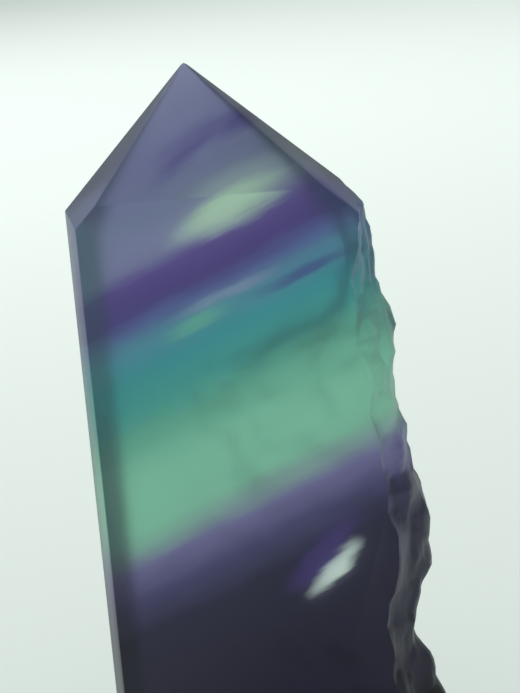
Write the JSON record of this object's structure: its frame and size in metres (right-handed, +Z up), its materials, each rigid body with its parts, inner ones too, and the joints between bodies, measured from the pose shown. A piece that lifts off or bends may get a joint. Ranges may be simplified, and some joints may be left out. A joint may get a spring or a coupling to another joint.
{
  "type": "fluorite point",
  "caption": "Polished banded fluorite point in purple, blue and green, pointed at the top, flat at the base, with natural rough crystal left on one side",
  "frame": {"origin": "on the flat base, under the middle of the bounding box", "axes": "+Z up along the stone to its apex, +X to the natural rough side, -Y out of the broad polished front face"},
  "size_m": [0.0416, 0.016, 0.088],
  "materials": {
    "fluorite": "clear banded crystal, polished faces, satin rough side"
  },
  "bodies": {
    "root": {"fluorite_point": "fluorite"}
  },
  "joints": []
}
